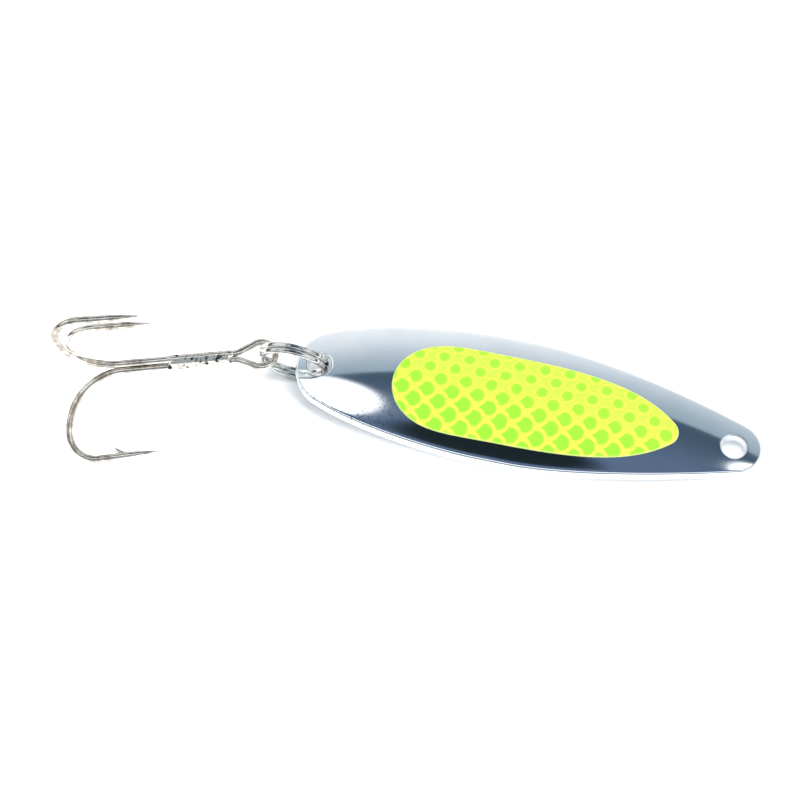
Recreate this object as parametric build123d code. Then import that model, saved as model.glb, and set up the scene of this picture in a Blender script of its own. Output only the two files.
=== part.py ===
"""Casting spoon lure: a stamped metal blade, a split ring and a brazed treble hook.

Millimetres. The origin is the centre of the line-tie hole in the blade's nose, half way
through the plate. +Z runs along that hole, out of the decorated face. +X runs from the
hook end to the nose. The hook lies towards -X.
"""
import math
import os

from build123d import *

# ---- Blade: one stamped plate, dished across and bowed along --------------------------
BLADE_LENGTH = 63.5         # over the rounded ends
BLADE_WIDTH = 18.7          # at its widest
PLATE = 1.8                 # thickness of the plate
CROSS_RADIUS = 38.0         # front face, across the blade
LONG_RADIUS = 300.0         # front face, along the blade
NOSE_ROUND = 3.6            # outline radius at the nose
TAIL_ROUND = 5.6            # outline radius at the tail, which is blunter
NOSE_TURN = 72.0            # degrees of that arc each side of the centre line
TAIL_TURN = 65.0
WIDE_SHARE = 0.517          # where the widest stretch starts, as a share of the length from the nose
WIDE_STRETCH = 4.0          # length of the parallel stretch
FRONT_RIM = 0.3             # rounding of the rim, front face
BACK_RIM = 0.45             # rounding of the rim, back face

# ---- Holes in the blade --------------------------------------------------------------------
LINE_TIE_BORE = 3.2         # diameter
LINE_TIE_MARGIN = 3.8       # nose end to hole centre
TAIL_BORE = 3.2             # diameter
TAIL_MARGIN = 3.2           # tail end to hole centre

# ---- Decal: adhesive film on the front face --------------------------------------------------
DECAL_LENGTH = 38.8
DECAL_WIDTH = 13.1
DECAL_FILM = 0.12           # thickness
DECAL_SETBACK = 11.3        # nose end of the blade to nose end of the decal
DECAL_NOSE_ROUND = 2.0
DECAL_TAIL_ROUND = 5.8
DECAL_TURN = 50.0
DECAL_WIDE_SHARE = 0.60     # widest place, as a share of the length from its nose end
DECAL_SHIFT = -0.25         # it is stuck a little towards -Y

# ---- Split ring: one strip of wire in two turns ------------------------------------------------
RING_OUTER = 9.8            # outside diameter
RING_RADIAL = 0.80          # wire, across the ring
RING_AXIAL = 0.74           # wire, along the ring's axis
COIL_GAP = 0.05             # between the two turns
WIRE_ROUND = 0.26           # corner rounding of the wire
CROSSOVER_AT = -62.0        # degrees: where the wire steps from one turn to the other
CROSSOVER_HALF = 12.0       # degrees, half the step
TURN_END_GAP = 3.0          # degrees between a cut end and the step
RING_LEAN = 6.0            # degrees: the ring's top leans towards -Y
RING_PLAY = 0.10            # ring to the wall of the tail hole

# ---- Treble hook ----------------------------------------------------------------------------------
HOOK_WIRE = 1.0             # wire diameter
WIRE_SEAT_GAP = 0.04        # between neighbouring shanks, filled by the braze outside
EYE_ROUND = 1.95            # centre line radius of the eye's end
EYE_TAPER = 28.0            # degrees between each eye leg and the shank
EYE_NECK_ROUND = 2.5        # where the legs turn into the shank
SHANK_LENGTH = 14.9         # straight stretch, from the eye's neck to the bend
BEND_ROUND = 8.0            # shank side of the bend, a quarter turn
BEND_FLAT = 0.1             # short straight between the two arcs
CROWN_ROUND = 3.5           # point side of the bend
SPEAR_TURN_IN = 2.1         # degrees that the spear leans towards the shank
SPEAR_STRAIGHT = 4.2        # round part of the spear
POINT_LENGTH = 4.0          # tapered part, to the tip
POINT_TIP = 0.04            # tip radius
BARB_RISE = 0.85            # barb's edge above the wire
BARB_LENGTH = 1.7
BARB_THICK = 0.42
BARB_SETBACK = 4.3          # from the tip to the barb's root
BRAZE_LENGTH = 8.8
BRAZE_REACH = 0.96          # braze's outside radius about the treble's axis
BRAZE_CORE = 0.56           # radius inside which no braze is modelled
TREBLE_YAW = 18.5           # degrees: the treble lies turned towards -Y
TREBLE_ROLL = -4.5          # degrees about its own axis
TREBLE_LIFT = 0.24          # treble's axis above the line-tie centre
EYE_SLACK = 0.9             # ring's inner edge to the inside of the eye's end
EYE_OFFSET = 0.12           # treble's axis to the ring's middle, where it crosses the wire

# ---- Worked out from those ------------------------------------------------------------------------
NOSE_X = LINE_TIE_MARGIN
TAIL_X = NOSE_X - BLADE_LENGTH
TAIL_HOLE_X = TAIL_X + TAIL_MARGIN
BLADE_MID_X = (NOSE_X + TAIL_X) / 2
BOW_AXIS_Z = -math.sqrt((LONG_RADIUS - PLATE / 2) ** 2 - BLADE_MID_X ** 2)
TOP_Z = BOW_AXIS_Z + LONG_RADIUS
TALL = 40.0                 # taller than the blade, for cutting tools

RING_MEAN = (RING_OUTER - RING_RADIAL) / 2
RING_STACK = 2 * RING_AXIAL + COIL_GAP
WIRE_RADIUS = HOOK_WIRE / 2
SHANK_OFFSET = (HOOK_WIRE + WIRE_SEAT_GAP) / math.sqrt(3)


def plate_middle_z(x):
    """Height of the plate's middle surface on the centre line."""
    return BOW_AXIS_Z + math.sqrt((LONG_RADIUS - PLATE / 2) ** 2 - (x - BLADE_MID_X) ** 2)


def egg_side(end_x, inward, radius, turn, wide_x, half_width, end_pull, wide_pull):
    """Upper half of one end of an egg outline: an arc, then a curve to the widest place."""
    angle = math.radians(turn)
    centre_x = end_x + inward * radius
    arc_end = (centre_x - inward * radius * math.cos(angle), radius * math.sin(angle))
    reach = abs(wide_x - arc_end[0])
    leave = (math.sin(angle) * inward, math.cos(angle))
    arc = ThreePointArc(
        (end_x, 0),
        (centre_x - inward * radius * math.cos(angle / 2), radius * math.sin(angle / 2)),
        arc_end,
    )
    curve = Bezier(
        arc_end,
        (arc_end[0] + end_pull * reach * leave[0], arc_end[1] + end_pull * reach * leave[1]),
        (wide_x - inward * wide_pull * reach, half_width),
        (wide_x, half_width),
    )
    return [arc, curve]


def outline_face(half_edges):
    """Close a half outline with its mirror image, and fill it."""
    mirrored = [edge.mirror(Plane.XZ) for edge in half_edges]
    return make_face(half_edges + mirrored)


def blade_outline():
    """Plan of the blade: round nose, fuller middle, blunt tail."""
    half_width = BLADE_WIDTH / 2
    wide_nose_x = NOSE_X - WIDE_SHARE * BLADE_LENGTH
    wide_tail_x = wide_nose_x - WIDE_STRETCH
    nose = egg_side(NOSE_X, -1, NOSE_ROUND, NOSE_TURN, wide_nose_x, half_width, 0.35, 0.25)
    tail = egg_side(TAIL_X, 1, TAIL_ROUND, TAIL_TURN, wide_tail_x, half_width, 0.30, 0.25)
    land = Line((wide_nose_x, half_width), (wide_tail_x, half_width))
    return outline_face(nose + [land] + tail)


def decal_outline():
    """Plan of the decal: an egg, pointed towards the nose."""
    nose_x = NOSE_X - DECAL_SETBACK
    tail_x = nose_x - DECAL_LENGTH
    wide_x = nose_x - DECAL_WIDE_SHARE * DECAL_LENGTH
    half_width = DECAL_WIDTH / 2
    nose = egg_side(nose_x, -1, DECAL_NOSE_ROUND, DECAL_TURN, wide_x, half_width, 0.25, 0.55)
    tail = egg_side(tail_x, 1, DECAL_TAIL_ROUND, DECAL_TURN, wide_x, half_width, 0.30, 0.50)
    return outline_face(nose + tail)


def dished_sheet(top, thickness):
    """A sheet dished across and bowed along, whose upper face is `top` above the plate's front."""
    outer = CROSS_RADIUS + top
    inner = outer - thickness
    centre_z = TOP_Z - CROSS_RADIUS
    half_width = BLADE_WIDTH / 2 + 1.0
    ring = Circle(outer) - Circle(inner)
    window = Pos(0, outer) * Rectangle(2 * half_width, outer)
    section = Plane((BLADE_MID_X, 0, centre_z), x_dir=(0, 1, 0), z_dir=(1, 0, 0)) * (ring & window)
    bow_axis = Axis((BLADE_MID_X, 0, BOW_AXIS_Z), (0, 1, 0))
    half_bow = math.degrees(math.asin((BLADE_LENGTH / 2 + 1.0) / LONG_RADIUS))
    sheet = revolve(section, bow_axis, 2 * half_bow)
    return sheet.rotate(bow_axis, -half_bow)


def prism(face):
    """A tall column over a plan, for trimming a sheet to it."""
    return extrude(Pos(0, 0, -TALL / 2) * face, TALL)


def make_spoon_body():
    """The blade: dished plate, rounded rim, a hole at each end."""
    blade = prism(blade_outline()) & dished_sheet(0.0, PLATE)
    front = blade.faces().sort_by(SortBy.AREA)[-2:].sort_by(Axis.Z)[1]
    blade = fillet(front.edges(), FRONT_RIM)
    back = blade.faces().sort_by(SortBy.AREA)[-2:].sort_by(Axis.Z)[0]
    blade = fillet(back.edges(), BACK_RIM)
    holes = Cylinder(LINE_TIE_BORE / 2, TALL) + Pos(TAIL_HOLE_X, 0) * Cylinder(TAIL_BORE / 2, TALL)
    return blade - holes


def make_scale_decal():
    """The adhesive film, lying on the front face."""
    plan = Pos(0, DECAL_SHIFT) * decal_outline()
    return prism(plan) & dished_sheet(DECAL_FILM, DECAL_FILM)


def ring_section(angle, lift):
    """The ring wire's section at an angle round the ring, `lift` along the ring's axis."""
    turn = math.radians(angle)
    outward = (math.cos(turn), math.sin(turn), 0)
    along = (-math.sin(turn), math.cos(turn), 0)
    place = (RING_MEAN * outward[0], RING_MEAN * outward[1], lift)
    return Plane(place, x_dir=outward, z_dir=along) * RectangleRounded(RING_RADIAL, RING_AXIAL, WIRE_ROUND)


def ring_centre():
    """Centre of the ring: its wire stands in the tail hole, near the nose side."""
    half_stack = RING_STACK / 2 + PLATE / 2 * math.sin(math.radians(RING_LEAN))
    reach = math.sqrt((TAIL_BORE / 2) ** 2 - half_stack ** 2) - RING_PLAY
    return (TAIL_HOLE_X + reach - RING_OUTER / 2, 0.0, plate_middle_z(TAIL_HOLE_X))


def make_split_ring():
    """Two flat turns of one wire, joined by a short step."""
    lift = (RING_AXIAL + COIL_GAP) / 2
    sweep_angle = 360 - 2 * CROSSOVER_HALF - TURN_END_GAP
    step_start = CROSSOVER_AT - CROSSOVER_HALF
    step_end = CROSSOVER_AT + CROSSOVER_HALF
    front_turn = revolve(ring_section(step_start, lift), Axis.Z, -sweep_angle)
    back_turn = revolve(ring_section(step_end, -lift), Axis.Z, sweep_angle)
    step = loft(
        [ring_section(step_start, lift), ring_section(CROSSOVER_AT, 0), ring_section(step_end, -lift)],
        ruled=True,
    )
    ring = front_turn + step + back_turn
    upright = ring.rotate(Axis.X, 90 + RING_LEAN)
    return upright.moved(Location(ring_centre()))


def wire_along(path, start, heading):
    """Round wire swept along a path that starts at `start`."""
    profile = Plane(start, z_dir=heading) * Circle(WIRE_RADIUS)
    return sweep(profile, path=path)


def eye_neck_x():
    """Where the eye's legs have come together, measured from the eye's outer end."""
    taper = math.radians(EYE_TAPER)
    half_pitch = (HOOK_WIRE + WIRE_SEAT_GAP) / 2
    drop = EYE_ROUND * math.cos(taper) - half_pitch - EYE_NECK_ROUND * (1 - math.cos(taper))
    leg = drop / math.sin(taper)
    arc_centre_x = -(WIRE_RADIUS + EYE_ROUND)
    run = EYE_ROUND * math.sin(taper) + leg * math.cos(taper) + EYE_NECK_ROUND * math.sin(taper)
    return arc_centre_x - run, leg


def make_eye():
    """The closed eye that the double hook's wire makes between its two shanks."""
    neck_x, leg = eye_neck_x()
    half_pitch = (HOOK_WIRE + WIRE_SEAT_GAP) / 2
    plane_z = -SHANK_OFFSET / 2
    start = Vector(neck_x, half_pitch, plane_z)
    neck_out = JernArc(start, (1, 0, 0), EYE_NECK_ROUND, EYE_TAPER)
    leg_out = Line(neck_out @ 1, neck_out @ 1 + (neck_out % 1) * leg)
    end = JernArc(leg_out @ 1, leg_out % 1, EYE_ROUND, -(180 + 2 * EYE_TAPER))
    leg_back = Line(end @ 1, end @ 1 + (end % 1) * leg)
    neck_back = JernArc(leg_back @ 1, leg_back % 1, EYE_NECK_ROUND, EYE_TAPER)
    return wire_along(neck_out + leg_out + end + leg_back + neck_back, start, (1, 0, 0))


def hook_paths():
    """Centre line of one hook in the X-Z plane, from the eye's neck to where the point starts."""
    neck_x, _ = eye_neck_x()
    facing = Plane((neck_x, 0, SHANK_OFFSET), x_dir=(-1, 0, 0), z_dir=(0, 1, 0))
    shank = Line((0, 0), (SHANK_LENGTH, 0))
    bend = JernArc(shank @ 1, (1, 0), BEND_ROUND, 90)
    flat = Line(bend @ 1, bend @ 1 + (bend % 1) * BEND_FLAT)
    crown = JernArc(flat @ 1, flat % 1, CROWN_ROUND, 90 + SPEAR_TURN_IN)
    spear = Line(crown @ 1, crown @ 1 + (crown % 1) * SPEAR_STRAIGHT)
    tip = spear @ 1 + (spear % 1) * POINT_LENGTH
    path = shank + bend + flat + crown + spear
    return facing, path, spear @ 1, spear % 1, tip


def make_hook():
    """One whole hook, standing up from the treble's axis: shank, bend, spear, point and barb."""
    facing, path, point_root, heading, tip = hook_paths()
    profile = Plane((0, 0, 0), z_dir=(1, 0, 0)) * Circle(WIRE_RADIUS)
    wire = sweep(profile, path=path)
    cone = Plane(point_root, z_dir=heading) * Cone(
        WIRE_RADIUS, POINT_TIP, POINT_LENGTH, align=(Align.CENTER, Align.CENTER, Align.MIN)
    )
    inward = Vector(-heading.Y, heading.X, 0)
    back = heading * -1
    root = tip + back * BARB_SETBACK
    barb = make_face(
        Polyline(
            root,
            root + back * BARB_LENGTH + inward * (WIRE_RADIUS + BARB_RISE),
            root + back * (BARB_LENGTH - 0.55) + inward * (WIRE_RADIUS * 0.6),
            root + back * (BARB_LENGTH - 0.55),
            close=True,
        )
    )
    blade = extrude(barb, BARB_THICK / 2, dir=(0, 0, 1), both=True)
    return facing.from_local_coords(wire + cone + blade)


def place_treble(shape):
    """Move a shape from the treble's own place to where the treble hangs on the ring."""
    centre = ring_centre()
    inner_x = centre[0] - RING_MEAN + RING_RADIAL / 2
    crossing_x = centre[0] - RING_MEAN
    eye_end_x = inner_x + EYE_SLACK + HOOK_WIRE
    slope = math.tan(math.radians(TREBLE_YAW))
    eye_end_y = EYE_OFFSET + (eye_end_x - crossing_x) * slope
    turned = shape.rotate(Axis.X, TREBLE_ROLL).rotate(Axis.Z, TREBLE_YAW)
    return turned.moved(Location((eye_end_x, eye_end_y, TREBLE_LIFT)))


def make_double_hook():
    """Two hooks and the eye, bent from one wire."""
    near = make_hook().rotate(Axis.X, 120)
    far = make_hook().rotate(Axis.X, -120)
    return place_treble(make_eye() + near + far)


def make_single_hook():
    """The third hook, laid in the groove of the other two."""
    return place_treble(make_hook())


def make_braze_joint():
    """Braze in the three grooves between the shanks."""
    neck_x, _ = eye_neck_x()
    section = Circle(BRAZE_REACH) - Circle(BRAZE_CORE)
    for angle in (90, 210, 330):
        seat = math.radians(angle)
        section -= Pos(SHANK_OFFSET * math.cos(seat), SHANK_OFFSET * math.sin(seat)) * Circle(WIRE_RADIUS)
    across = Plane((neck_x - 0.3, 0, 0), x_dir=(0, 1, 0), z_dir=(1, 0, 0))
    return place_treble(extrude(across * section, -BRAZE_LENGTH))


def main():
    os.makedirs("parts", exist_ok=True)
    makers = {
        "spoon_body": make_spoon_body,
        "scale_decal": make_scale_decal,
        "split_ring": make_split_ring,
        "double_hook": make_double_hook,
        "single_hook": make_single_hook,
        "braze_joint": make_braze_joint,
    }
    for node, make in makers.items():
        shape = make()
        export_step(shape, f"parts/{node}.step")
        box = shape.bounding_box()
        print(f"{node}: volume {shape.volume:.1f}, x {box.min.X:.2f}..{box.max.X:.2f}, "
              f"y {box.min.Y:.2f}..{box.max.Y:.2f}, z {box.min.Z:.2f}..{box.max.Z:.2f}")
    print("ring centre", [round(v, 3) for v in ring_centre()])


main()
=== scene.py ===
"""Casting spoon lure: plated blade, fish-scale film, split ring and treble hook."""
import math

import bmesh
import bpy
import numpy as np
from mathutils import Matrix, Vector, noise


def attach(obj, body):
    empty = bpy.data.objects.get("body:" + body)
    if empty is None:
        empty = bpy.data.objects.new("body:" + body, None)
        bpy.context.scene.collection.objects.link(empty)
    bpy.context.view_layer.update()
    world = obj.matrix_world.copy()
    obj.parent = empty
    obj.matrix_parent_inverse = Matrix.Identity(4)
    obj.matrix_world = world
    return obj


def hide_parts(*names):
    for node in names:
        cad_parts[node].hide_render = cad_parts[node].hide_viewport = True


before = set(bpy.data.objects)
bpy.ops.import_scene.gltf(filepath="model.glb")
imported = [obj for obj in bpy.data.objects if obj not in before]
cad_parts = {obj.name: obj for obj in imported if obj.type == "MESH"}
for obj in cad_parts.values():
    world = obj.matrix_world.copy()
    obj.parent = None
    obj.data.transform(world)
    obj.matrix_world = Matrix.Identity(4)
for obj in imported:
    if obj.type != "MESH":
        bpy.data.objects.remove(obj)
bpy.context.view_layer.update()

# ---- Where the lure is seen from -----------------------------------------------------
# A long lens looks down on the lure from over its near edge, a little towards the nose. It
# is aimed near the middle of the whole length, from the nose to the bends of the hooks.

MM = 0.001
VIEW_AZIMUTH = math.radians(12.6)
VIEW_ELEVATION = math.radians(64.0)
VIEW_DISTANCE = 298.4 * MM
VIEW_CENTRE = Vector((-44.8, -2.55, 0.0)) * MM

camera_data = bpy.data.cameras.new("lure_camera")
camera_data.lens = 100.0
camera_data.sensor_width = 36.0
camera_data.clip_start = 0.01
lure_camera = bpy.data.objects.new("lure_camera", camera_data)
towards_lens = Vector((
    math.sin(VIEW_AZIMUTH) * math.cos(VIEW_ELEVATION),
    -math.cos(VIEW_AZIMUTH) * math.cos(VIEW_ELEVATION),
    math.sin(VIEW_ELEVATION),
))
lure_camera.location = VIEW_CENTRE + towards_lens * VIEW_DISTANCE
lure_camera.rotation_euler = (-towards_lens).to_track_quat("-Z", "Y").to_euler()
bpy.context.scene.collection.objects.link(lure_camera)
bpy.context.scene.camera = lure_camera
bpy.context.scene.view_settings.view_transform = "Standard"


# ---- Studio: what the bright metal mirrors ------------------------------------------------
# A white room with a dark canopy overhead. The canopy's edge makes the line between the pale
# far slope and the dark near slope, and its two openings make the glare at the blade's ends.
# A bright strip nearer the viewer lights the near rim, and a grey skirting gives wires an edge.

class Reading:
    """A number or colour read off a surface, which Python's operators work on."""

    def __init__(self, bench, socket):
        self.bench = bench
        self.socket = socket

    def _maths(self, operation, *values):
        return self.bench.add("ShaderNodeMath", {"operation": operation}, dict(enumerate(values)))

    def __add__(self, other):
        return self._maths("ADD", self, other)

    def __radd__(self, other):
        return self._maths("ADD", other, self)

    def __sub__(self, other):
        return self._maths("SUBTRACT", self, other)

    def __rsub__(self, other):
        return self._maths("SUBTRACT", other, self)

    def __mul__(self, other):
        return self._maths("MULTIPLY", self, other)

    def __rmul__(self, other):
        return self._maths("MULTIPLY", other, self)

    def __truediv__(self, other):
        return self._maths("DIVIDE", self, other)

    def __rtruediv__(self, other):
        return self._maths("DIVIDE", other, self)

    def __neg__(self):
        return self._maths("MULTIPLY", self, -1.0)

    def __abs__(self):
        return self._maths("ABSOLUTE", self)

    def floor(self):
        return self._maths("FLOOR", self)

    def root(self):
        return self._maths("SQRT", self)

    def below(self, other):
        return self._maths("LESS_THAN", self, other)

    def least(self, other):
        return self._maths("MINIMUM", self, other)

    def most(self, other):
        return self._maths("MAXIMUM", self, other)

    def rise(self, low, high):
        """0 under low, 1 over high, smooth between."""
        settings = {"interpolation_type": "SMOOTHSTEP"}
        return self.bench.add("ShaderNodeMapRange", settings, {0: self, 1: low, 2: high})


class Bench:
    """A node tree being wired, with one way to add a node to it."""

    def __init__(self, tree):
        self.tree = tree

    def add(self, kind, settings=None, inputs=None, output=0):
        """Add a node: its settings first, then the values or links of its sockets."""
        node = self.tree.nodes.new(kind)
        for name, value in (settings or {}).items():
            setattr(node, name, value)
        for name, value in (inputs or {}).items():
            self.feed(node.inputs[name], value)
        return Reading(self, node.outputs[output])

    def feed(self, socket, value):
        if isinstance(value, Reading):
            self.tree.links.new(value.socket, socket)
        else:
            socket.default_value = value

    def mix(self, share, first, second):
        """Colour: first where share is 0, second where it is 1."""
        settings = {"data_type": "RGBA", "clamp_factor": True}
        return self.add("ShaderNodeMix", settings, {0: share, 6: first, 7: second}, output=2)

    def split(self, vector):
        """The three parts of a vector."""
        parts = self.add("ShaderNodeSeparateXYZ", {}, {0: vector})
        return [Reading(self, socket) for socket in parts.socket.node.outputs]


CANOPY_EDGE = 0.585         # how far back, on the unit sphere seen from above
CANOPY_ARCH = 2.75          # how fast its edge comes forward to each side
CANOPY_MIDDLE = -0.003
CANOPY_OPENINGS = (         # middle and reach, on the same sphere
    (-0.290, 0.215, 0.074, 0.145),
    (0.250, 0.285, 0.028, 0.062),
)
DEEP_MIDDLE = (-0.07, 0.06)     # the darkest part of the canopy
DEEP_REACH = (0.145, 0.115)
STRIP_MIDDLE = -0.27
ROOM_FAR = (1.05, 1.08, 1.10, 1.0)
ROOM_NEAR_EDGE = (0.34, 0.44, 0.52, 1.0)
CANOPY_SHADE = (0.060, 0.098, 0.150, 1.0)
CANOPY_DEEP = (0.012, 0.020, 0.024, 1.0)
CANOPY_LIGHTER = (0.110, 0.165, 0.260, 1.0)
OPENING_LIGHT = (1.9, 1.95, 2.0, 1.0)
STRIP_LIGHT = (2.6, 2.55, 2.5, 1.0)
SKIRTING = (0.16, 0.155, 0.15, 1.0)

world = bpy.data.worlds.new("studio_room")
world.use_nodes = True
bpy.context.scene.world = world
room = Bench(world.node_tree)
looking = room.add("ShaderNodeTexCoord")
sight_x, sight_y, sight_z = room.split(looking)
edge_y = CANOPY_EDGE - CANOPY_ARCH * (sight_x - CANOPY_MIDDLE) * (sight_x - CANOPY_MIDDLE)
behind_edge = sight_y - edge_y
wall = room.mix(behind_edge.rise(0.0, 0.36), ROOM_NEAR_EDGE, ROOM_FAR)
shade = room.mix(behind_edge.rise(-0.35, -0.02), CANOPY_LIGHTER, CANOPY_SHADE)
deep_x = (sight_x - DEEP_MIDDLE[0]) / DEEP_REACH[0]
deep_y = (sight_y - DEEP_MIDDLE[1]) / DEEP_REACH[1]
deep = 1 - (deep_x * deep_x + deep_y * deep_y).rise(0.55, 1.25)
shade = room.mix(deep, shade, CANOPY_DEEP)
for middle_x, middle_y, reach_x, reach_y in CANOPY_OPENINGS:
    across = (sight_x - middle_x) / reach_x
    along = (sight_y - middle_y) / reach_y
    opening = 1 - (across * across + along * along).rise(0.55, 1.1)
    shade = room.mix(opening, shade, OPENING_LIGHT)
out_of_canopy = behind_edge.rise(-0.006, 0.006).most(abs(sight_x).rise(0.40, 0.50))
out_of_canopy = out_of_canopy.most((-sight_y).rise(0.12, 0.30)).most(1 - sight_z.rise(0.05, 0.25))
room_light = room.mix(out_of_canopy, shade, wall)
strip = (1 - abs(sight_y - STRIP_MIDDLE).rise(0.05, 0.11)) * sight_z.rise(0.6, 0.8)
room_light = room.mix(strip, room_light, STRIP_LIGHT)
room_light = room.mix(1 - sight_z.rise(0.16, 0.34), room_light, SKIRTING)
room.feed(world.node_tree.nodes["Background"].inputs["Color"], room_light)


def soft_lamp(name, place, aim, size, power):
    """A broad lamp that lights the table and the film but isn't mirrored in the metal."""
    data = bpy.data.lights.new(name, "AREA")
    data.shape = "DISK"
    data.size = size
    data.energy = power
    lamp = bpy.data.objects.new(name, data)
    lamp.location = place
    lamp.rotation_euler = (Vector(place) - Vector(aim)).to_track_quat("Z", "Y").to_euler()
    lamp.visible_glossy = False
    bpy.context.scene.collection.objects.link(lamp)


soft_lamp("overhead_lamp", (0.05, 0.10, 0.60), (-0.045, 0, 0), 0.45, 3.6)
soft_lamp("side_lamp", (0.45, -0.25, 0.45), (-0.045, 0, 0), 0.30, 1.4)

# ---- Table ------------------------------------------------------------------------------------
# A plain white table. The lure rests on its nose and on the bends of two hooks, so against
# the blade's own level the table falls a little towards the hooks and towards the far side.
# It gives off a little light of its own, a painted glow for bounced light, except close under the
# blade, where it is left dark as a painted shadow that shows through the holes.

TABLE_FALL = 0.0624         # drop towards the hooks, per unit of length
TABLE_LEAN = -0.0620        # drop towards the far side
TABLE_REACH = 3.0
TABLE_GLOW = 0.42           # bounced light that fills the shadows beside the lure
TABLE_GAP = 0.02 * MM
UNLIT_MIDDLE_X = -31.0      # the part under the blade that gives off no light
UNLIT_REACH = (30.0, 7.0)

rest_heights = [
    corner.co.z - TABLE_FALL * corner.co.x - TABLE_LEAN * corner.co.y
    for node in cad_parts.values()
    for corner in node.data.vertices
]
table_base = min(rest_heights) - TABLE_GAP
table_corners = [
    (x, y, table_base + TABLE_FALL * x + TABLE_LEAN * y)
    for x in (-TABLE_REACH, TABLE_REACH)
    for y in (-TABLE_REACH, TABLE_REACH)
]
table_mesh = bpy.data.meshes.new("table")
table_mesh.from_pydata(table_corners, [], [(0, 2, 3, 1)])
table = bpy.data.objects.new("table", table_mesh)
bpy.context.scene.collection.objects.link(table)
table_paint = bpy.data.materials.new("table_paint")
table_paint.use_nodes = True
table_shader = table_paint.node_tree.nodes["Principled BSDF"]
table_shader.inputs["Base Color"].default_value = (0.94, 0.945, 0.95, 1.0)
table_shader.inputs["Roughness"].default_value = 0.9
table_shader.inputs["Specular IOR Level"].default_value = 0.1
table_shader.inputs["Emission Strength"].default_value = TABLE_GLOW
bench = Bench(table_paint.node_tree)
# Painted glow that fades to a painted shadow in an ellipse under the blade.
under = bench.add("ShaderNodeTexCoord", output=3)
under_x, under_y, _ = bench.split(under)
out_x = (under_x / MM - UNLIT_MIDDLE_X) / UNLIT_REACH[0]
out_y = under_y / MM / UNLIT_REACH[1]
lit = (out_x * out_x + out_y * out_y).rise(0.95, 1.6)
bench.feed(table_shader.inputs["Emission Color"], lit)
table_mesh.materials.append(table_paint)


# ---- Blade ------------------------------------------------------------------------------------
# The blade is one piece of brass plate, stamped to a shallow dish that is also bowed from end
# to end, then polished and plated bright. Its rim is rounded over, and a plain hole is punched
# through each end: the nose takes the line, the tail takes the split ring.

BLADE_LENGTH = 63.5
BLADE_HALF_WIDTH = 9.35
PLATE = 1.8
CROSS_RADIUS = 38.0
LONG_RADIUS = 300.0
NOSE_ROUND = 3.6
NOSE_TURN = 72.0
NOSE_PULLS = (0.35, 0.25)   # how straight the outline leaves the tip, and meets the widest place
TAIL_ROUND = 5.6
TAIL_TURN = 65.0
TAIL_PULLS = (0.30, 0.25)
NOSE_X = 3.8
TAIL_X = NOSE_X - BLADE_LENGTH
WIDE_SHARE = 0.517          # nose to the widest place, as a share of the length
WIDE_RUN = 4.0              # how long the blade stays at its widest
WIDE_NOSE_X = NOSE_X - WIDE_SHARE * BLADE_LENGTH
WIDE_TAIL_X = WIDE_NOSE_X - WIDE_RUN
BLADE_MIDDLE_X = (NOSE_X + TAIL_X) / 2
BOW_AXIS_Z = -math.sqrt((LONG_RADIUS - PLATE / 2) ** 2 - BLADE_MIDDLE_X ** 2)
HOLE_RADIUS = 1.6
TAIL_SETBACK = 3.2
TAIL_HOLE_X = TAIL_X + TAIL_SETBACK
HOLE_EDGE = 0.22            # rounding of each hole's edge
FRONT_RIM = 0.3
BACK_RIM = 0.45
FAN_REACH = 3.6             # how far from a hole the mesh fans out round it


def dish_height(x, y, above=0.0):
    """Height of the dished and bowed front face, or of a face that far above it."""
    across = np.sqrt((CROSS_RADIUS + above) ** 2 - y ** 2)
    reach = LONG_RADIUS - CROSS_RADIUS + across
    return BOW_AXIS_Z + np.sqrt(reach ** 2 - (x - BLADE_MIDDLE_X) ** 2)


def egg_side(end_x, inward, radius, turn, wide_x, half_width, end_pull, wide_pull, count):
    """Points of one end of an egg outline, from its tip to its widest place."""
    arc_angle = np.radians(np.linspace(0, turn, count // 2, endpoint=False))
    arc_x = end_x + inward * radius * (1 - np.cos(arc_angle))
    arc_y = radius * np.sin(arc_angle)
    angle = math.radians(turn)
    leave_x = end_x + inward * radius * (1 - math.cos(angle))
    leave_y = radius * math.sin(angle)
    reach = abs(wide_x - leave_x)
    t = np.linspace(0, 1, count)
    weights = ((1 - t) ** 3, 3 * (1 - t) ** 2 * t, 3 * (1 - t) * t ** 2, t ** 3)
    pull = end_pull * reach
    pull_x = leave_x + inward * pull * math.sin(angle)
    curve_x = (leave_x, pull_x, wide_x - inward * wide_pull * reach, wide_x)
    curve_y = (leave_y, leave_y + pull * math.cos(angle), half_width, half_width)
    bend_x = sum(w * x for w, x in zip(weights, curve_x))
    bend_y = sum(w * y for w, y in zip(weights, curve_y))
    return np.concatenate([arc_x, bend_x]), np.concatenate([arc_y, bend_y])


def even_outline(nose, tail, count):
    """Half an outline from nose to tail, its points evenly spaced along it."""
    x = np.concatenate([nose[0], tail[0][::-1]])
    y = np.concatenate([nose[1], tail[1][::-1]])
    run = np.concatenate([[0], np.cumsum(np.hypot(np.diff(x), np.diff(y)))])
    even = np.linspace(0, run[-1], count)
    return np.interp(even, run, x), np.interp(even, run, y)


def tube_faces(steps, around):
    """Four-cornered faces between the rows of a tube, whose rows each go once round it."""
    return [
        (step * around + i, step * around + (i + 1) % around,
         (step + 1) * around + (i + 1) % around, (step + 1) * around + i)
        for step in range(steps)
        for i in range(around)
    ]


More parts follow.
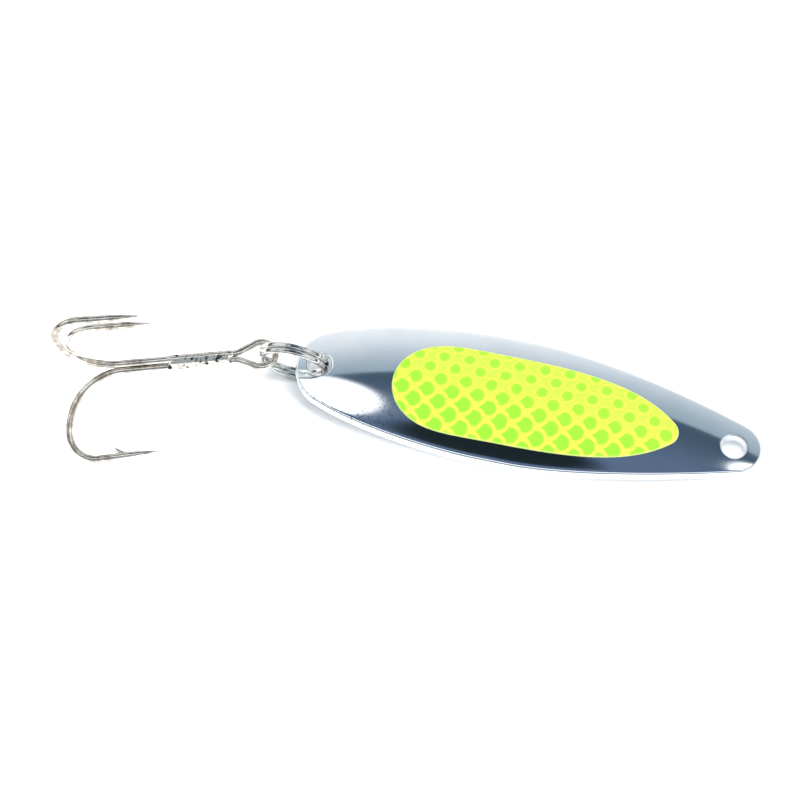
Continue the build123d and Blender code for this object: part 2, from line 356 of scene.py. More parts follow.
def smooth_mesh(name, corners, faces):
    """A welded, smooth-shaded mesh whose faces point outwards. Corners are in millimetres."""
    mesh = bpy.data.meshes.new(name)
    mesh.from_pydata((np.asarray(corners) * MM).tolist(), [], faces)
    work = bmesh.new()
    work.from_mesh(mesh)
    bmesh.ops.remove_doubles(work, verts=work.verts, dist=1e-7)
    bmesh.ops.dissolve_degenerate(work, dist=1e-8, edges=work.edges)
    bmesh.ops.recalc_face_normals(work, faces=work.faces)
    work.to_mesh(mesh)
    work.free()
    mesh.shade_smooth()
    return mesh


def show(name, mesh, finish, body, slot, *nodes):
    """Put a finished mesh on a body, in place of its plain nodes."""
    piece = bpy.data.objects.new(name, mesh)
    bpy.context.scene.collection.objects.link(piece)
    mesh.materials.clear()
    mesh.materials.append(finish)
    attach(piece, body)
    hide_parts(*nodes)


half_x, half_y = even_outline(
    egg_side(NOSE_X, -1, NOSE_ROUND, NOSE_TURN, WIDE_NOSE_X, BLADE_HALF_WIDTH, *NOSE_PULLS, 240),
    egg_side(TAIL_X, 1, TAIL_ROUND, TAIL_TURN, WIDE_TAIL_X, BLADE_HALF_WIDTH, *TAIL_PULLS, 240),
    361,
)
rim_x = np.concatenate([half_x, half_x[-2:0:-1]])
rim_y = np.concatenate([half_y, -half_y[-2:0:-1]])
rim_count = len(rim_x)
slope_x = np.roll(rim_x, -1) - np.roll(rim_x, 1)
slope_y = np.roll(rim_y, -1) - np.roll(rim_y, 1)
slope_size = np.hypot(slope_x, slope_y)
inward_x = -slope_y / slope_size
inward_y = slope_x / slope_size

open_radius = HOLE_RADIUS + HOLE_EDGE
last = len(half_x) - 1
nose_fan = int(np.argmin(abs(half_x - (-FAN_REACH))))
tail_fan = int(np.argmin(abs(half_x - (TAIL_HOLE_X + FAN_REACH))))
steps = np.arange(last + 1)
nose_angle = np.pi * np.clip(steps / nose_fan, 0, 1)
tail_angle = np.pi * np.clip((steps - tail_fan) / (last - tail_fan), 0, 1)
spine = np.clip((steps - nose_fan) / (tail_fan - nose_fan), 0, 1)
core_x = -open_radius + spine * (TAIL_HOLE_X + 2 * open_radius)
core_x = np.where(steps <= nose_fan, open_radius * np.cos(nose_angle), core_x)
core_x = np.where(steps >= tail_fan, TAIL_HOLE_X + open_radius * np.cos(tail_angle), core_x)
core_y = np.where(steps <= nose_fan, open_radius * np.sin(nose_angle), 0)
core_y = np.where(steps >= tail_fan, open_radius * np.sin(tail_angle), core_y)
core_x = np.concatenate([core_x, core_x[-2:0:-1]])
core_y = np.concatenate([core_y, -core_y[-2:0:-1]])
round_step = np.concatenate([steps, steps[-2:0:-1]])
in_nose_fan = round_step <= nose_fan
in_tail_fan = round_step >= tail_fan
hole_x = np.where(in_tail_fan, TAIL_HOLE_X, 0.0)

rows = []


def face_rows(rim_inset, above, shares):
    """Rows of a broad face, from the holes and spine out to where the rim starts to round."""
    end_x = rim_x + inward_x * rim_inset
    end_y = rim_y + inward_y * rim_inset
    for share in shares:
        x = core_x + (end_x - core_x) * share
        y = core_y + (end_y - core_y) * share
        rows.append(np.stack([x, y, dish_height(x, y, above)], axis=1))


FACE_STEPS = 22
front_shares = np.linspace(0, 1, FACE_STEPS)
face_rows(FRONT_RIM, 0.0, front_shares)
for turn in np.radians(np.linspace(0, 90, 10))[1:]:
    inset = FRONT_RIM * (1 - math.sin(turn))
    x, y = rim_x + inward_x * inset, rim_y + inward_y * inset
    rows.append(np.stack([x, y, dish_height(x, y) - FRONT_RIM * (1 - math.cos(turn))], axis=1))
for turn in np.radians(np.linspace(90, 0, 8))[:-1]:
    inset = BACK_RIM * (1 - math.sin(turn))
    x, y = rim_x + inward_x * inset, rim_y + inward_y * inset
    rows.append(np.stack([x, y, dish_height(x, y, -PLATE) + BACK_RIM * (1 - math.cos(turn))], axis=1))
face_rows(BACK_RIM, -PLATE, front_shares[::-1])
blade_corners = np.concatenate(rows)
blade_faces = tube_faces(len(rows) - 1, rim_count)

wall_rows = []
for above, into_plate, turns in ((0.0, -1, (0, 90)), (-PLATE, 1, (90, 0))):
    for turn in np.radians(np.linspace(*turns, 6)):
        radius = HOLE_RADIUS + HOLE_EDGE * (1 - math.sin(turn))
        wall_x = hole_x + (core_x - hole_x) * radius / open_radius
        wall_y = core_y * radius / open_radius
        edge_depth = HOLE_EDGE * (1 - math.cos(turn))
        wall_z = dish_height(wall_x, wall_y, above) + into_plate * edge_depth
        wall_rows.append(np.stack([wall_x, wall_y, wall_z], axis=1))
wall_start = len(blade_corners)
blade_corners = np.concatenate([blade_corners, *wall_rows])
for i in range(rim_count):
    after = (i + 1) % rim_count
    if (in_nose_fan[i] and in_nose_fan[after]) or (in_tail_fan[i] and in_tail_fan[after]):
        for row in range(len(wall_rows) - 1):
            base = wall_start + row * rim_count
            blade_faces.append((base + i, base + rim_count + i, base + rim_count + after, base + after))
blade_mesh = smooth_mesh("spoon_blade", blade_corners, blade_faces)


def metal(name, colour, roughness):
    """A bare metal finish: its bench, its shader and its object-place reading, in millimetres."""
    finish = bpy.data.materials.new(name)
    finish.use_nodes = True
    bench = Bench(finish.node_tree)
    shader = finish.node_tree.nodes["Principled BSDF"]
    shader.inputs["Base Color"].default_value = colour
    shader.inputs["Metallic"].default_value = 1.0
    shader.inputs["Roughness"].default_value = roughness
    place = bench.add("ShaderNodeTexCoord", output=3)
    place = bench.add("ShaderNodeVectorMath", {"operation": "SCALE"}, {0: place, 3: 1 / MM})
    return finish, bench, shader, place


plating, bench, shader, place = metal("blade_plating", (0.88, 0.90, 0.92, 1.0), 0.05)
smudge = bench.add("ShaderNodeTexNoise", {}, {0: place, 2: 0.22, 3: 4.0, 4: 0.55})
grain = bench.add("ShaderNodeTexNoise", {}, {0: place, 2: 5.5, 3: 3.0, 4: 0.6})
stretch = {"operation": "MULTIPLY"}
brushed_place = bench.add("ShaderNodeVectorMath", stretch, {0: place, 1: (4.5, 0.35, 1.0)})
brushing = bench.add("ShaderNodeTexNoise", {}, {0: brushed_place, 2: 2.0, 3: 2.0, 4: 0.5})
x_place, y_place, _ = bench.split(place)
tail_polish = 1 - x_place.rise(-54.0, -44.0)
far_polish = y_place.rise(0.6, 2.5)
brushing_share = tail_polish * far_polish
bench.feed(shader.inputs["Roughness"], 0.035 + smudge * 0.05 + brushing_share * 0.05)
ripple = smudge * 0.05 + grain * 0.0035 + brushing * brushing_share * 0.02
bump = bench.add("ShaderNodeBump", {}, {0: 0.35, 1: 0.001, 2: ripple})
bench.feed(shader.inputs["Normal"], bump)
# Painted reflection: dark bluish specks put into the plating's colour over the tail's near-side glare,
# so the highlight breaks up into grains.
glare_grain = bench.add("ShaderNodeTexNoise", {}, {0: place, 2: 2.4, 3: 5.0, 4: 0.7})
tail_share = 1 - x_place.rise(-50.0, -40.0)
glare_speckle = glare_grain.rise(0.54, 0.60) * tail_share * (1 - y_place.rise(-4.5, -1.5)) * 0.85
tint = bench.mix(smudge.rise(0.35, 0.75), (0.90, 0.92, 0.94, 1.0), (0.84, 0.87, 0.90, 1.0))
bench.feed(shader.inputs["Base Color"], bench.mix(glare_speckle, tint, (0.30, 0.36, 0.42, 1.0)))
show("spoon_blade", blade_mesh, plating, "blade", "blade_plating", "spoon_body")


# ---- Scale film -------------------------------------------------------------------------------
# A sheet of fluorescent chartreuse vinyl, die-cut to an egg shape and stuck on the front face.
# It is embossed and printed with overlapping fish scales: green hearts in a yellow net. Towards
# the far side the hearts are drawn smaller and ringed and the net greener, a painted sheen for the
# prism film's look at that angle. Its edge is rounded by the gloss over it.

FILM_LENGTH = 38.8
FILM_HALF_WIDTH = 6.55
FILM_THICK = 0.12
FILM_SETBACK = 11.3
FILM_WIDE_SHARE = 0.60
FILM_NOSE_X = NOSE_X - FILM_SETBACK
FILM_TAIL_X = FILM_NOSE_X - FILM_LENGTH
FILM_WIDE_X = FILM_NOSE_X - FILM_WIDE_SHARE * FILM_LENGTH
FILM_SHIFT = -0.25
FILM_TURN = 50.0
FILM_NOSE_ROUND = 2.0
FILM_NOSE_PULLS = (0.25, 0.55)
FILM_TAIL_ROUND = 5.8
FILM_TAIL_PULLS = (0.30, 0.50)
FILM_EDGE_ROUND = 0.12
SCALE_RADIUS = 1.705
SCALE_TURN = math.radians(3.5)
SCALE_ANCHOR = (-40.0, -2.6)        # middle of one scale
HEART_SHIFT = 0.16                  # heart to the scale's own middle, in scale radii
EMBOSS = 0.035
PILLOW_REACH = 0.35                 # net to the flat top of a scale, in scale radii
FILM_ROWS = 64
FILM_SPINE_INSETS = (6.0, 5.0)      # from the film's tail and nose to the mesh's spine
FILM_SINK = 0.01                    # how far its underside sits in the plating


def scale_place(x, y, floor, root, least, below):
    """Depth inside the scale that owns a place, and distance from that scale's heart."""
    across = (x - SCALE_ANCHOR[0]) / SCALE_RADIUS
    along = (y - SCALE_ANCHOR[1]) / SCALE_RADIUS
    u = across * math.cos(SCALE_TURN) + along * math.sin(SCALE_TURN)
    v = along * math.cos(SCALE_TURN) - across * math.sin(SCALE_TURN)
    column = floor(u)
    f = u - column
    odd = column - floor(column / 2) * 2
    beside = abs(v - odd - floor((v - odd) / 2 + 0.5) * 2)
    away = 1 - beside
    own = root(f * f + beside * beside)
    before = root((f + 1) * (f + 1) + away * away)
    after = root((1 - f) * (1 - f) + away * away)
    inside = below(own, 1.0)
    depth = inside * least(1 - own, before - 1) + (1 - inside) * least(1 - after, own - 1)
    from_heart = root((f - HEART_SHIFT) * (f - HEART_SHIFT) + beside * beside)
    next_heart = root((1 + HEART_SHIFT - f) * (1 + HEART_SHIFT - f) + away * away)
    return depth, inside * from_heart + (1 - inside) * next_heart


film_half_top = even_outline(
    egg_side(
        FILM_NOSE_X, -1, FILM_NOSE_ROUND, FILM_TURN, FILM_WIDE_X, FILM_HALF_WIDTH,
        *FILM_NOSE_PULLS, 200,
    ),
    egg_side(
        FILM_TAIL_X, 1, FILM_TAIL_ROUND, FILM_TURN, FILM_WIDE_X, FILM_HALF_WIDTH,
        *FILM_TAIL_PULLS, 200,
    ),
    321,
)
film_x = np.concatenate([film_half_top[0], film_half_top[0][-2:0:-1]])
film_y = np.concatenate([film_half_top[1], -film_half_top[1][-2:0:-1]])
film_count = len(film_x)
film_spine = (FILM_TAIL_X + FILM_SPINE_INSETS[0], FILM_NOSE_X - FILM_SPINE_INSETS[1])
film_core_x = np.clip(film_x, *film_spine)
film_corners = []
for row in range(FILM_ROWS):
    share = row / (FILM_ROWS - 1)
    x = film_core_x + (film_x - film_core_x) * share
    y = film_y * share
    to_edge = np.hypot(film_x - x, film_y - y)
    depth, _ = scale_place(x, y + FILM_SHIFT, np.floor, np.sqrt, np.minimum, np.less)
    pillow = EMBOSS * np.minimum(depth / PILLOW_REACH, 1) ** 0.7
    rounding = np.clip(to_edge / FILM_EDGE_ROUND, 0, 1)
    lift = (FILM_THICK - EMBOSS + pillow) * np.sqrt(1 - (1 - rounding) ** 2)
    film_corners.append(np.stack([x, y + FILM_SHIFT, dish_height(x, y + FILM_SHIFT) + lift], axis=1))
under_z = dish_height(film_x, film_y + FILM_SHIFT) - FILM_SINK
film_corners.append(np.stack([film_x, film_y + FILM_SHIFT, under_z], axis=1))
film_faces = tube_faces(FILM_ROWS, film_count)
film_mesh = smooth_mesh("scale_film", np.concatenate(film_corners), film_faces)
edge_reach = film_mesh.attributes.new("edge_reach", "FLOAT", "POINT")
film_points = np.array([corner.co[:2] for corner in film_mesh.vertices]) / MM
film_rim = np.stack([film_x, film_y + FILM_SHIFT], axis=1)
edge_reach.data.foreach_set("value", [
    float(np.min(np.hypot(film_rim[:, 0] - x, film_rim[:, 1] - y))) for x, y in film_points
])

GREEN_HEART = (0.235, 0.60, 0.024, 1.0)
YELLOW_NET = (0.535, 0.615, 0.060, 1.0)
FAR_SHEEN_NET = (0.385, 0.60, 0.052, 1.0)
PALE_EDGE = (0.60, 0.64, 0.20, 1.0)
FILM_GLOW = 0.12            # the dye's own fluorescence
film_vinyl = bpy.data.materials.new("film_vinyl")
film_vinyl.use_nodes = True
bench = Bench(film_vinyl.node_tree)
shader = film_vinyl.node_tree.nodes["Principled BSDF"]
place = bench.add("ShaderNodeTexCoord", output=3)
place = bench.add("ShaderNodeVectorMath", {"operation": "SCALE"}, {0: place, 3: 1 / MM})
wander = bench.add("ShaderNodeTexNoise", {}, {0: place, 2: 0.9, 3: 2.0})
x_place, y_place, _ = bench.split(place)
depth, from_heart = scale_place(
    x_place + (wander - 0.5) * 0.25, y_place + (wander - 0.5) * 0.25,
    Reading.floor, Reading.root, Reading.least, Reading.below,
)
# Painted sheen: towards the far side the hearts shrink and take rings and the net turns greener,
# standing in for how the prism film catches the light there.
far_sheen_share = (y_place + x_place * 0.06).rise(-5.0, 1.6)
heart_reach = 0.66 - far_sheen_share * 0.27 + (wander - 0.5) * 0.10
heart = (1 - (from_heart - heart_reach).rise(-0.06, 0.05)) * (depth - 0.07).rise(-0.03, 0.05)
sheen_ring_arc = 1 - abs(from_heart - 0.56).rise(0.04, 0.16)
net_line = 1 - depth.rise(0.10, 0.20)
net = bench.mix(far_sheen_share * (1 - sheen_ring_arc * 0.9) * (1 - net_line * 0.35), YELLOW_NET, FAR_SHEEN_NET)
colour = bench.mix(heart * (1 - far_sheen_share * 0.18), net, GREEN_HEART)
to_rim = bench.add("ShaderNodeAttribute", {"attribute_name": "edge_reach"}, output=2)
colour = bench.mix((1 - to_rim.rise(0.10, 0.24)) * 0.7, colour, PALE_EDGE)
bench.feed(shader.inputs["Base Color"], colour)
shader.inputs["Roughness"].default_value = 0.32
shader.inputs["Specular IOR Level"].default_value = 0.35
bench.feed(shader.inputs["Emission Color"], colour)
shader.inputs["Emission Strength"].default_value = FILM_GLOW
show("scale_film", film_mesh, film_vinyl, "blade", "decal_film", "scale_decal")


# ---- Split ring -------------------------------------------------------------------------------
# Two turns of flattened steel wire coiled close, nickel plated, stepping from one turn to the
# other near the bottom. It hangs in the blade's tail hole and carries the treble's eye.

RING_OUTER = 9.8
RING_RADIAL = 0.80
RING_AXIAL = 0.74
COIL_GAP = 0.05
WIRE_ROUND = 0.26
STEP_AT = -62.0
STEP_HALF = 12.0
TURN_SWEEP = 333.0
RING_LEAN = 6.0
RING_PLAY = 0.10
RING_END_SWELL = 0.90       # the wire's cut ends, thinned by polishing
RING_MEAN = (RING_OUTER - RING_RADIAL) / 2
ring_half_stack = RING_AXIAL + COIL_GAP / 2 + PLATE / 2 * math.sin(math.radians(RING_LEAN))
RING_CENTRE = (
    TAIL_HOLE_X + math.sqrt(HOLE_RADIUS ** 2 - ring_half_stack ** 2) - RING_PLAY - RING_OUTER / 2,
    0.0,
    BOW_AXIS_Z + math.sqrt((LONG_RADIUS - PLATE / 2) ** 2 - (TAIL_HOLE_X - BLADE_MIDDLE_X) ** 2),
)


def sweep_tree():
    """Geometry tree that carries a profile along a path, thinned by the path's own swell."""
    tree = bpy.data.node_groups.new("swept_wire", "GeometryNodeTree")
    tree.interface.new_socket("Path", in_out="INPUT", socket_type="NodeSocketGeometry")
    tree.interface.new_socket("Profile", in_out="INPUT", socket_type="NodeSocketObject")
    tree.interface.new_socket("Finish", in_out="INPUT", socket_type="NodeSocketMaterial")
    tree.interface.new_socket("Wire", in_out="OUTPUT", socket_type="NodeSocketGeometry")
    bench = Bench(tree)
    given = [Reading(bench, socket) for socket in tree.nodes.new("NodeGroupInput").outputs]
    swell = bench.add("GeometryNodeInputNamedAttribute", {"data_type": "FLOAT"}, {0: "swell"})
    path = bench.add("GeometryNodeMeshToCurve", {}, {"Mesh": given[0]})
    path = bench.add("GeometryNodeSetCurveRadius", {}, {"Curve": path, "Radius": swell})
    shape = bench.add("GeometryNodeObjectInfo", {}, {"Object": given[1]}, output="Geometry")
    shape = bench.add("GeometryNodeMeshToCurve", {}, {"Mesh": shape})
    settings = {"Curve": path, "Profile Curve": shape, "Fill Caps": True}
    wire = bench.add("GeometryNodeCurveToMesh", {}, settings)
    scale = wire.socket.node.inputs.get("Scale")
    if scale is not None:
        bench.feed(scale, swell)
    wire = bench.add("GeometryNodeRealizeInstances", {}, {0: wire})
    wire = bench.add("GeometryNodeSetMaterial", {}, {"Geometry": wire, "Material": given[2]})
    tree.links.new(wire.socket, tree.nodes.new("NodeGroupOutput").inputs[0])
    return tree


def grow(name, tree, mesh, **inputs):
    """Run a geometry tree on a mesh and return the plain mesh it makes."""
    seedling = bpy.data.objects.new(name + "_seed", mesh)
    bpy.context.scene.collection.objects.link(seedling)
    growth = seedling.modifiers.new("growth", "NODES")
    growth.node_group = tree
    for socket in tree.interface.items_tree:
        if socket.name in inputs:
            growth[socket.identifier] = inputs[socket.name]
    evaluated = seedling.evaluated_get(bpy.context.evaluated_depsgraph_get())
    grown = bpy.data.meshes.new_from_object(evaluated)
    seedling.modifiers.remove(growth)
    bpy.data.objects.remove(seedling)
    grown.name = name
    return grown


def line_mesh(name, points, swell=None, closed=False):
    """A mesh of edges along a path in millimetres, with its swell at each point."""
    mesh = bpy.data.meshes.new(name)
    edges = [(i, i + 1) for i in range(len(points) - 1)]
    if closed:
        edges.append((len(points) - 1, 0))
    mesh.from_pydata((np.asarray(points) * MM).tolist(), edges, [])
    if swell is not None:
        mesh.attributes.new("swell", "FLOAT", "POINT").data.foreach_set("value", swell)
    return mesh


def profile_object(name, points):
    """A closed profile for the sweep, in the X-Y plane."""
    shape = bpy.data.objects.new(name, line_mesh(name, points, closed=True))
    bpy.context.scene.collection.objects.link(shape)
    return shape


def sweep(name, path, swell, profile, finish):
    """One wire: a profile swept along a path, its ends closed."""
    seed_mesh = line_mesh(name + "_path", path, swell)
    grown = grow(name, wire_sweep, seed_mesh, Profile=profile, Finish=finish)
    work = bmesh.new()
    work.from_mesh(grown)
    bmesh.ops.recalc_face_normals(work, faces=work.faces)
    work.to_mesh(grown)
    work.free()
    grown.shade_smooth()
    return grown


def about_x(points, degrees):
    """Points turned about the X axis."""
    turn = math.radians(degrees)
    x, y, z = np.asarray(points).T
    turned_y = y * math.cos(turn) - z * math.sin(turn)
    turned_z = y * math.sin(turn) + z * math.cos(turn)
    return np.stack([x, turned_y, turned_z], axis=1)


wire_sweep = sweep_tree()
corner_turns = np.radians(np.linspace(0, 90, 6))
ring_profile_points = [
    (sx * (RING_RADIAL / 2 - WIRE_ROUND) + WIRE_ROUND * math.cos(start + turn),
     sy * (RING_AXIAL / 2 - WIRE_ROUND) + WIRE_ROUND * math.sin(start + turn), 0.0)
    for sx, sy, start in ((1, 1, 0), (-1, 1, math.pi / 2), (-1, -1, math.pi), (1, -1, 1.5 * math.pi))
    for turn in corner_turns
]
ring_profile = profile_object("ring_profile", ring_profile_points)
ring_lift = (RING_AXIAL + COIL_GAP) / 2
ring_degrees = np.concatenate([
    np.linspace(STEP_AT - STEP_HALF - TURN_SWEEP, STEP_AT - STEP_HALF, 260),
    np.linspace(STEP_AT - STEP_HALF, STEP_AT + STEP_HALF, 26)[1:-1],
    np.linspace(STEP_AT + STEP_HALF, STEP_AT + STEP_HALF + TURN_SWEEP, 260),
])
step_share = np.clip((ring_degrees - STEP_AT) / STEP_HALF, -1, 1)
ring_height = -ring_lift * step_share * (1.5 - 0.5 * step_share ** 2)
ring_turns = np.radians(ring_degrees)
ring_round_x = RING_MEAN * np.cos(ring_turns)
ring_round_y = RING_MEAN * np.sin(ring_turns)
ring_path = np.stack([ring_round_x, ring_round_y, ring_height], axis=1)
ring_path = about_x(ring_path, 90 + RING_LEAN) + np.array(RING_CENTRE)
ring_swell = np.ones(len(ring_path))
ring_swell[[0, -1]] = RING_END_SWELL

ring_steel, bench, shader, place = metal("ring_steel", (0.80, 0.80, 0.78, 1.0), 0.13)
fleck = bench.add("ShaderNodeTexNoise", {}, {0: place, 2: 0.8, 3: 3.0, 4: 0.5})
bench.feed(shader.inputs["Roughness"], 0.08 + fleck * 0.14)
tone = bench.mix(fleck.rise(0.42, 0.66), (0.66, 0.67, 0.65, 1.0), (0.40, 0.41, 0.39, 1.0))
bench.feed(shader.inputs["Base Color"], tone)
ring_mesh = sweep("coiled_ring", ring_path, ring_swell, ring_profile, ring_steel)
show("coiled_ring", ring_mesh, ring_steel, "ring", "ring_steel", "split_ring")


# ---- Treble: double hook and its eye ------------------------------------------------------------
# Two of the three hooks are one length of round high-carbon wire, folded at the eye, so the eye
# is closed by the brazed shanks. Each end is bent round, ground to a needle point and slit on
# its inner side to raise a barb. The whole is tin-nickel plated, a little dull and warm.

HOOK_RADIUS = 0.5
SEAT_GAP = 0.04
EYE_ROUND = 1.95
EYE_TAPER = 28.0
NECK_ROUND = 2.5
SHANK_LENGTH = 14.9
BEND_ROUND = 8.0
BEND_FLAT = 0.1
CROWN_ROUND = 3.5
SPEAR_TURN_IN = 2.1
SPEAR_STRAIGHT = 4.2
POINT_LENGTH = 4.0
POINT_TIP = 0.04
BARB_RISE = 0.85
BARB_LENGTH = 1.7
BARB_HALF_THICK = 0.21
BARB_SETBACK = 4.3
BARB_STEPS = 12
BARB_SIDES = 8
TREBLE_YAW = 18.5
TREBLE_ROLL = -4.5
TREBLE_LIFT = 0.24
EYE_SLACK = 0.9
EYE_OFFSET = 0.12
half_pitch = HOOK_RADIUS + SEAT_GAP / 2
SHANK_OFFSET = 2 * half_pitch / math.sqrt(3)
taper = math.radians(EYE_TAPER)
EYE_LEG = (
    EYE_ROUND * math.cos(taper) - half_pitch - NECK_ROUND * (1 - math.cos(taper))
) / math.sin(taper)
NECK_X = -(HOOK_RADIUS + EYE_ROUND) - (
    EYE_ROUND * math.sin(taper) + EYE_LEG * math.cos(taper) + NECK_ROUND * math.sin(taper)
)
eye_end_x = RING_CENTRE[0] - RING_MEAN + RING_RADIAL / 2 + EYE_SLACK + 2 * HOOK_RADIUS
eye_end_y = EYE_OFFSET + (eye_end_x - RING_CENTRE[0] + RING_MEAN) * math.tan(math.radians(TREBLE_YAW))


def bent_path(start, heading_degrees, bends):
    """Plane path from (length, 0) straights and (radius, turn) bends, a point each 0.12 mm."""
    points = [np.array(start, dtype=float)]
    heading = math.radians(heading_degrees)
    for size, turn in bends:
        swing = math.radians(turn)
        run = abs(swing) * size if turn else size
        count = max(2, int(run / 0.12))
        origin = points[-1]
        for step in range(1, count + 1):
            part = step / count
            if turn:
                side = math.copysign(size, turn)
                now = heading + swing * part
                ahead = side * (math.sin(now) - math.sin(heading))
                aside = side * (math.cos(heading) - math.cos(now))
            else:
                ahead = size * part * math.cos(heading)
                aside = size * part * math.sin(heading)
            points.append(origin + np.array((ahead, aside)))
        heading += swing
    return np.array(points), heading


def place_treble(points):
    """Points of the treble, moved from its own place to where it hangs on the ring."""
    x, y, z = about_x(points, TREBLE_ROLL).T
    yaw = math.radians(TREBLE_YAW)
    return np.stack([
        x * math.cos(yaw) - y * math.sin(yaw) + eye_end_x,
        x * math.sin(yaw) + y * math.cos(yaw) + eye_end_y,
        z + TREBLE_LIFT,
    ], axis=1)


hook_flat, spear_heading = bent_path((0, 0), 0, (
    (SHANK_LENGTH, 0), (BEND_ROUND, 90), (BEND_FLAT, 0), (CROWN_ROUND, 90 + SPEAR_TURN_IN),
    (SPEAR_STRAIGHT, 0), (POINT_LENGTH, 0),
))
hook_along, hook_up = hook_flat.T
hook_line = np.stack([NECK_X - hook_along, 0 * hook_along, SHANK_OFFSET + hook_up], axis=1)
hook_steps = np.linalg.norm(np.diff(hook_flat, axis=0), axis=1)
hook_run = np.concatenate([[0], np.cumsum(hook_steps)])
to_tip = hook_run[-1] - hook_run
hook_swell = np.where(to_tip < POINT_LENGTH, (to_tip / POINT_LENGTH) ** 0.8, 1.0)
hook_swell = np.maximum(hook_swell, POINT_TIP / HOOK_RADIUS)
eye_flat, _ = bent_path((NECK_X, half_pitch), 0, (
    (NECK_ROUND, EYE_TAPER), (EYE_LEG, 0), (EYE_ROUND, -(180 + 2 * EYE_TAPER)), (EYE_LEG, 0),
    (NECK_ROUND, EYE_TAPER),
))
eye_line = np.stack([eye_flat[:, 0], eye_flat[:, 1], 0 * eye_flat[:, 0] - SHANK_OFFSET / 2], axis=1)
near_line = about_x(hook_line, 120)
far_line = about_x(hook_line, -120)
double_line = np.concatenate([far_line[::-1], eye_line[1:-1], near_line])
double_swell = np.concatenate([hook_swell[::-1], np.ones(len(eye_line) - 2), hook_swell])


def barb(turn):
    """One barb: a sliver raised from the spear's inner side, thinning to its edge."""
    back = np.array([-math.cos(spear_heading), -math.sin(spear_heading)])
    inward = np.array([-math.sin(spear_heading), math.cos(spear_heading)])
    root = hook_flat[-1] + back * BARB_SETBACK
    corners = []
    for step in range(BARB_STEPS + 1):
        part = step / BARB_STEPS
        top = HOOK_RADIUS * 0.75 + (HOOK_RADIUS * 0.25 + BARB_RISE) * part ** 1.25
        low = HOOK_RADIUS * 0.45 + max(0.0, (part - 0.62) / 0.38) ** 1.3 * (top - HOOK_RADIUS * 0.45)
        half = BARB_HALF_THICK * (1 - 0.72 * part ** 2)
        for height, side in (
            (low, -1), (low * 0.5 + top * 0.5, -0.95), (top * 0.9 + low * 0.1, -0.7), (top, -0.2),
            (top, 0.2), (top * 0.9 + low * 0.1, 0.7), (low * 0.5 + top * 0.5, 0.95), (low, 1),
        ):
            flat = root + back * BARB_LENGTH * part + inward * height
            corners.append((NECK_X - flat[0], side * half, SHANK_OFFSET + flat[1]))
    faces = tube_faces(BARB_STEPS, BARB_SIDES)
    end_start = BARB_STEPS * BARB_SIDES
    faces += [tuple(range(BARB_SIDES)), tuple(range(end_start, end_start + BARB_SIDES))]
    return smooth_mesh("barb", place_treble(about_x(corners, turn)), faces)


def joined(name, meshes):
    """Several meshes as one."""
    whole = bmesh.new()
    for mesh in meshes:
        whole.from_mesh(mesh)
    mesh = bpy.data.meshes.new(name)
    whole.to_mesh(mesh)
    whole.free()
    mesh.shade_smooth()
    return mesh


round_turns = np.radians(np.arange(0, 360, 15))
hook_profile = profile_object("hook_profile", [
    (HOOK_RADIUS * math.cos(turn), HOOK_RADIUS * math.sin(turn), 0.0) for turn in round_turns
])
hook_plating, bench, shader, place = metal("hook_plating", (0.78, 0.76, 0.72, 1.0), 0.22)
stain = bench.add("ShaderNodeTexNoise", {}, {0: place, 2: 0.45, 3: 4.0, 4: 0.58})
tone = bench.mix(stain.rise(0.42, 0.66), (0.74, 0.69, 0.62, 1.0), (0.36, 0.305, 0.25, 1.0))
bench.feed(shader.inputs["Base Color"], tone)
bench.feed(shader.inputs["Roughness"], 0.12 + stain * 0.16)
double_path = place_treble(double_line)
double_wire = sweep("double_hook_wire", double_path, double_swell, hook_profile, hook_plating)
double_mesh = joined("double_hook_wire", [double_wire, barb(120), barb(-120)])
show("double_hook_wire", double_mesh, hook_plating, "treble", "hook_plating", "double_hook")


# ---- Treble: single hook -----------------------------------------------------------------------
# The third hook is its own length of the same wire, laid in the groove of the folded pair. Its
# shank is cut off square just behind the eye's neck.

single_swell = hook_swell.copy()
single_swell[0] = 0.85
single_path = place_treble(hook_line)
single_wire = sweep("single_hook_wire", single_path, single_swell, hook_profile, hook_plating)
single_mesh = joined("single_hook_wire", [single_wire, barb(0)])
show("single_hook_wire", single_mesh, hook_plating, "treble", "hook_plating", "single_hook")


# ---- Treble: brazed joint ----------------------------------------------------------------------
# Braze has run along the grooves between the three shanks and wetted a thin skin over them. It
# is lumpy and pitted, with a few beads of spatter, and darker than the plated wire.

BRAZE_LENGTH = 8.8
BRAZE_REACH = 0.97
BRAZE_SKIN = 0.03
BRAZE_AROUND = 120
BRAZE_ALONG = 150
BRAZE_SETBACK = 0.3
BRAZE_CREEP = 0.15          # how far the thin skin runs past the joint at each end
BRAZE_FADES = (0.06, 0.10)  # shares of its length over which it thins out
BRAZE_START = NECK_X - BRAZE_SETBACK
BEAD_RADIUS = 0.10
BEAD_DENSITY = 0.55e6
BEAD_SEED = 11

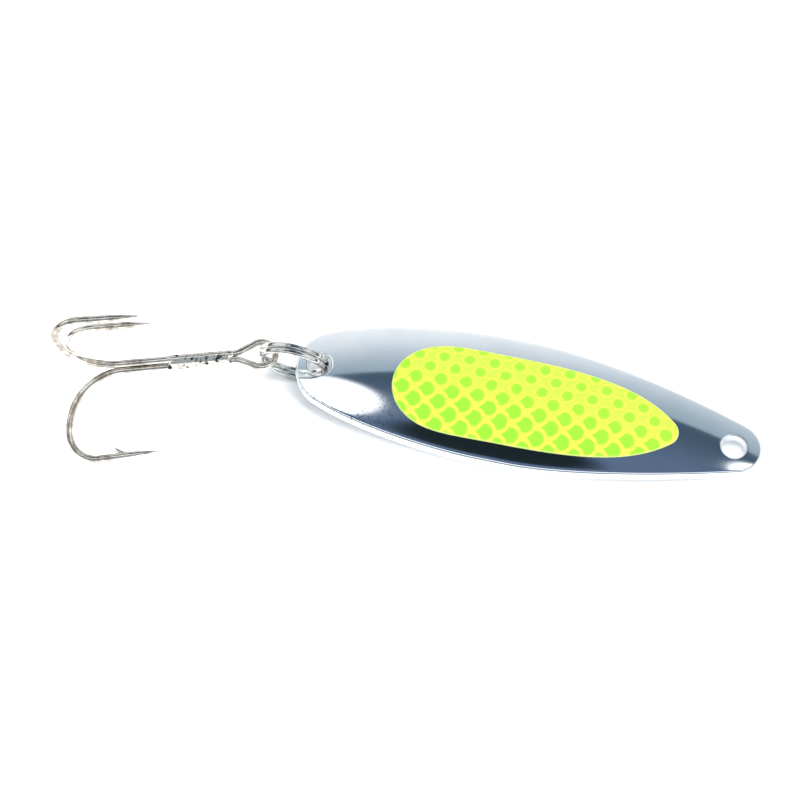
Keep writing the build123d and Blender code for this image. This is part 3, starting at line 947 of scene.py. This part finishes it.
braze_corners = []
for step in range(BRAZE_ALONG + 1):
    part = step / BRAZE_ALONG
    x = BRAZE_START + BRAZE_CREEP - part * (BRAZE_LENGTH + 2 * BRAZE_CREEP)
    fade = min(1.0, part / BRAZE_FADES[0], (1 - part) / BRAZE_FADES[1])
    for i in range(BRAZE_AROUND):
        turn = 2 * math.pi * i / BRAZE_AROUND
        wire = 0.0
        for seat in (90, 210, 330):
            apart = turn - math.radians(seat)
            inside = HOOK_RADIUS ** 2 - (SHANK_OFFSET * math.sin(apart)) ** 2
            if inside > 0:
                wire = max(wire, SHANK_OFFSET * math.cos(apart) + math.sqrt(inside))
        where = Vector((x * 0.9, math.cos(turn) * 1.3, math.sin(turn) * 1.3))
        lump = noise.fractal(where, 0.8, 2.1, 4)
        pit = noise.noise(where * 4.3)
        fill = BRAZE_REACH - 0.04 + 0.045 * lump - 0.025 * max(0.0, pit)
        fill *= 0.45 + 0.55 * fade
        skin = wire + (BRAZE_SKIN + 0.018 * lump) * fade - 0.02 * (1 - fade)
        height = 0.5 * (fill + skin + math.sqrt((fill - skin) ** 2 + 0.0015))
        braze_corners.append((x, height * math.cos(turn), height * math.sin(turn)))
braze_faces = tube_faces(BRAZE_ALONG, BRAZE_AROUND)
end_start = BRAZE_ALONG * BRAZE_AROUND
braze_faces += [tuple(range(BRAZE_AROUND)), tuple(range(end_start, end_start + BRAZE_AROUND))]
braze_skin = smooth_mesh("braze_skin", place_treble(braze_corners), braze_faces)

braze_metal, bench, shader, place = metal("braze_metal", (0.62, 0.58, 0.53, 1.0), 0.34)
scorch = bench.add("ShaderNodeTexNoise", {}, {0: place, 2: 1.7, 3: 5.0, 4: 0.62})
tone = bench.mix(scorch.rise(0.53, 0.60), (0.76, 0.71, 0.64, 1.0), (0.05, 0.043, 0.037, 1.0))
bench.feed(shader.inputs["Base Color"], tone)
bench.feed(shader.inputs["Roughness"], 0.18 + scorch * 0.24)


def bead_tree():
    """Geometry tree that scatters small round beads over a surface."""
    tree = bpy.data.node_groups.new("braze_beads", "GeometryNodeTree")
    tree.interface.new_socket("Surface", in_out="INPUT", socket_type="NodeSocketGeometry")
    tree.interface.new_socket("Density", in_out="INPUT", socket_type="NodeSocketFloat")
    tree.interface.new_socket("Seed", in_out="INPUT", socket_type="NodeSocketInt")
    tree.interface.new_socket("Finish", in_out="INPUT", socket_type="NodeSocketMaterial")
    tree.interface.new_socket("Radius", in_out="INPUT", socket_type="NodeSocketFloat")
    tree.interface.new_socket("Beads", in_out="OUTPUT", socket_type="NodeSocketGeometry")
    bench = Bench(tree)
    given = [Reading(bench, socket) for socket in tree.nodes.new("NodeGroupInput").outputs]
    spots = {"Mesh": given[0], "Density": given[1], "Seed": given[2]}
    points = bench.add("GeometryNodeDistributePointsOnFaces", {}, spots)
    bead = bench.add("GeometryNodeMeshIcoSphere", {}, {"Radius": given[4], "Subdivisions": 3})
    spread = {"data_type": "FLOAT"}
    size = bench.add("FunctionNodeRandomValue", spread, {2: 0.45, 3: 1.25, "Seed": given[2]}, output=1)
    beads = {"Points": points, "Instance": bead, "Scale": size}
    beads = bench.add("GeometryNodeInstanceOnPoints", {}, beads)
    beads = bench.add("GeometryNodeRealizeInstances", {}, {0: beads})
    beads = bench.add("GeometryNodeSetMaterial", {}, {"Geometry": beads, "Material": given[3]})
    tree.links.new(beads.socket, tree.nodes.new("NodeGroupOutput").inputs[0])
    return tree


beads = grow(
    "braze_beads", bead_tree(), braze_skin.copy(),
    Density=BEAD_DENSITY, Seed=BEAD_SEED, Finish=braze_metal, Radius=BEAD_RADIUS * MM,
)
braze_mesh = joined("braze_skin", [braze_skin, beads])
show("braze_skin", braze_mesh, braze_metal, "treble", "braze_metal", "braze_joint")
for shape in (ring_profile, hook_profile):
    bpy.data.objects.remove(shape)
